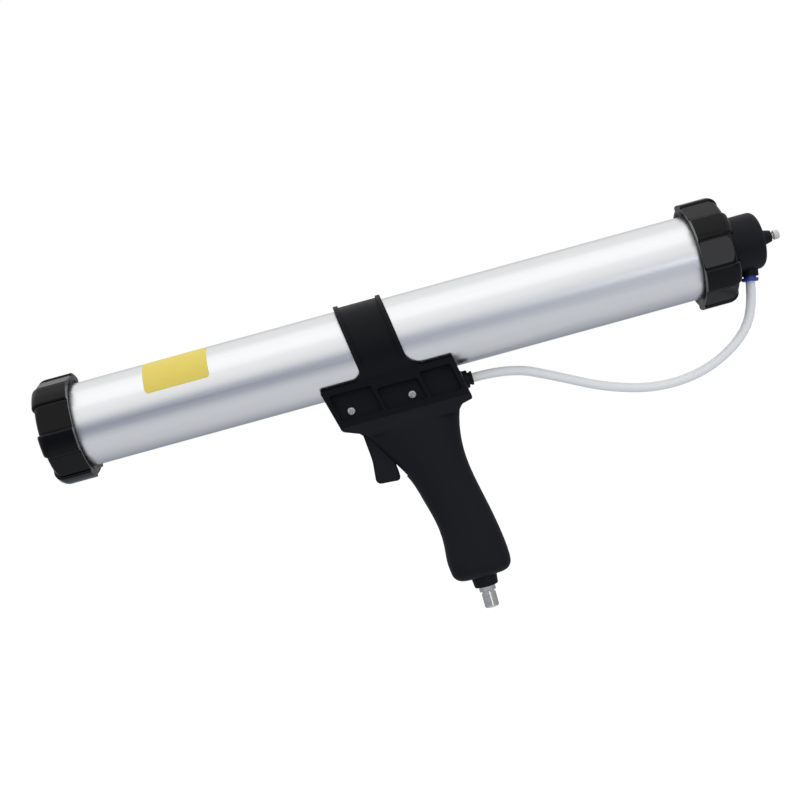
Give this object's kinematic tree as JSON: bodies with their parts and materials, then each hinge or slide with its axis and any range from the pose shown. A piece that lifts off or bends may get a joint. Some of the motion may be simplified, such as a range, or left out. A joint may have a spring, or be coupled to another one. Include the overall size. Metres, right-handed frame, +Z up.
{
  "type": "pneumatic caulking gun",
  "caption": "Air-driven caulking gun: aluminium barrel with lobed ring nuts, carried by a band clamp on a pistol grip with a trigger valve, and an air hose to the rear plug.",
  "frame": {"origin": "middle of the pistol grip, where a hand holds the tool", "axes": "+X along the barrel away from the muzzle, +Z up from the grip to the barrel"},
  "size_m": [0.4833, 0.0686, 0.2155],
  "materials": {
    "barrel": "satin, lengthwise grain",
    "ring_plastic": "semi-gloss black",
    "black_plastic": "matte black, fine grain",
    "clear_hose": "milky, translucent",
    "blue_plastic": "gloss",
    "pale_plastic": "pale, slightly translucent",
    "bright_steel": "zinc plated",
    "plated_steel": "nickel plated",
    "cast_metal": "as cast",
    "brass": "turned",
    "rubber": "matte"
  },
  "bodies": {
    "tool_frame": {"barrel_tube": "barrel", "barrel_clamp": "black_plastic", "clamp_screws": "bright_steel", "clamp_nuts": "bright_steel", "grip_left_half": "black_plastic", "grip_right_half": "black_plastic", "trigger_pin": "bright_steel", "valve_body": "cast_metal", "valve_end_plug": "brass", "stem_seal": "rubber", "valve_spring": "bright_steel", "outlet_fitting": "black_plastic", "inlet_collar": "black_plastic", "inlet_nipple": "plated_steel", "inlet_washer": "rubber", "air_pipe": "cast_metal", "air_hose": "clear_hose"},
    "trigger": {"trigger": "black_plastic"},
    "valve_stem": {"valve_stem": "brass", "poppet_face": "rubber"},
    "front_seal": {"front_seal_washer": "rubber"},
    "front_ring": {"front_ring_nut": "ring_plastic"},
    "rear_end": {"rear_plug": "black_plastic", "rear_oring": "rubber", "rear_port_fitting": "black_plastic", "bleed_collar": "black_plastic", "bleed_spring": "bright_steel"},
    "rear_ring": {"rear_ring_nut": "ring_plastic"},
    "bleed_pin": {"bleed_pin": "pale_plastic", "bleed_seal": "rubber"},
    "rear_collet": {"rear_collet": "blue_plastic"},
    "outlet_collet": {"outlet_collet": "black_plastic"},
    "piston": {"piston": "black_plastic", "piston_seal": "rubber"}
  },
  "joints": [
    {"name": "trigger_pull", "type": "hinge", "parent": "tool_frame", "child": "trigger", "pos_m": [-0.0481, 0, 0.062], "axis": [0, -1, 0], "range_deg": [0, 8], "stiffness_Nm_per_rad": 1, "springref_deg": -8.59},
    {"name": "valve_stroke", "type": "slide", "parent": "tool_frame", "child": "valve_stem", "axis": [1, 0, 0], "range_m": [0, 0.00231], "deforming": ["valve_spring"]},
    {"name": "front_ring_travel", "type": "slide", "parent": "tool_frame", "child": "front_seal", "axis": [-1, 0, 0], "range_m": [0, 0.015]},
    {"name": "front_ring_turn", "type": "hinge", "parent": "front_seal", "child": "front_ring", "pos_m": [-0.2155, 0, 0.11], "axis": [-1, 0, 0], "range_deg": [0, 1800]},
    {"name": "rear_ring_travel", "type": "slide", "parent": "tool_frame", "child": "rear_end", "axis": [1, 0, 0], "range_m": [0, 0.015], "deforming": ["air_hose"]},
    {"name": "rear_ring_turn", "type": "hinge", "parent": "rear_end", "child": "rear_ring", "pos_m": [0.1853, 0, 0.11], "axis": [1, 0, 0], "range_deg": [0, 1800]},
    {"name": "piston_stroke", "type": "slide", "parent": "tool_frame", "child": "piston", "axis": [-1, 0, 0], "range_m": [0, 0.375]},
    {"name": "bleed_press", "type": "slide", "parent": "rear_end", "child": "bleed_pin", "axis": [-1, 0, 0], "range_m": [0, 0.0016], "stiffness_N_per_m": 400, "springref_m": -0.002, "deforming": ["bleed_spring"]},
    {"name": "rear_collet_press", "type": "slide", "parent": "rear_end", "child": "rear_collet", "axis": [0.1736, 0, 0.9848], "range_m": [0, 0.001], "stiffness_N_per_m": 300, "springref_m": -0.001},
    {"name": "outlet_collet_press", "type": "slide", "parent": "tool_frame", "child": "outlet_collet", "axis": [-1, 0, 0], "range_m": [0, 0.001], "stiffness_N_per_m": 300, "springref_m": -0.001}
  ],
  "couplings": [
    {"joint": "valve_stroke", "follows": "trigger_pull", "m_per_rad": 0.0165},
    {"joint": "front_ring_travel", "follows": "front_ring_turn", "m_per_rad": 0.00047746},
    {"joint": "rear_ring_travel", "follows": "rear_ring_turn", "m_per_rad": 0.00047746}
  ]
}
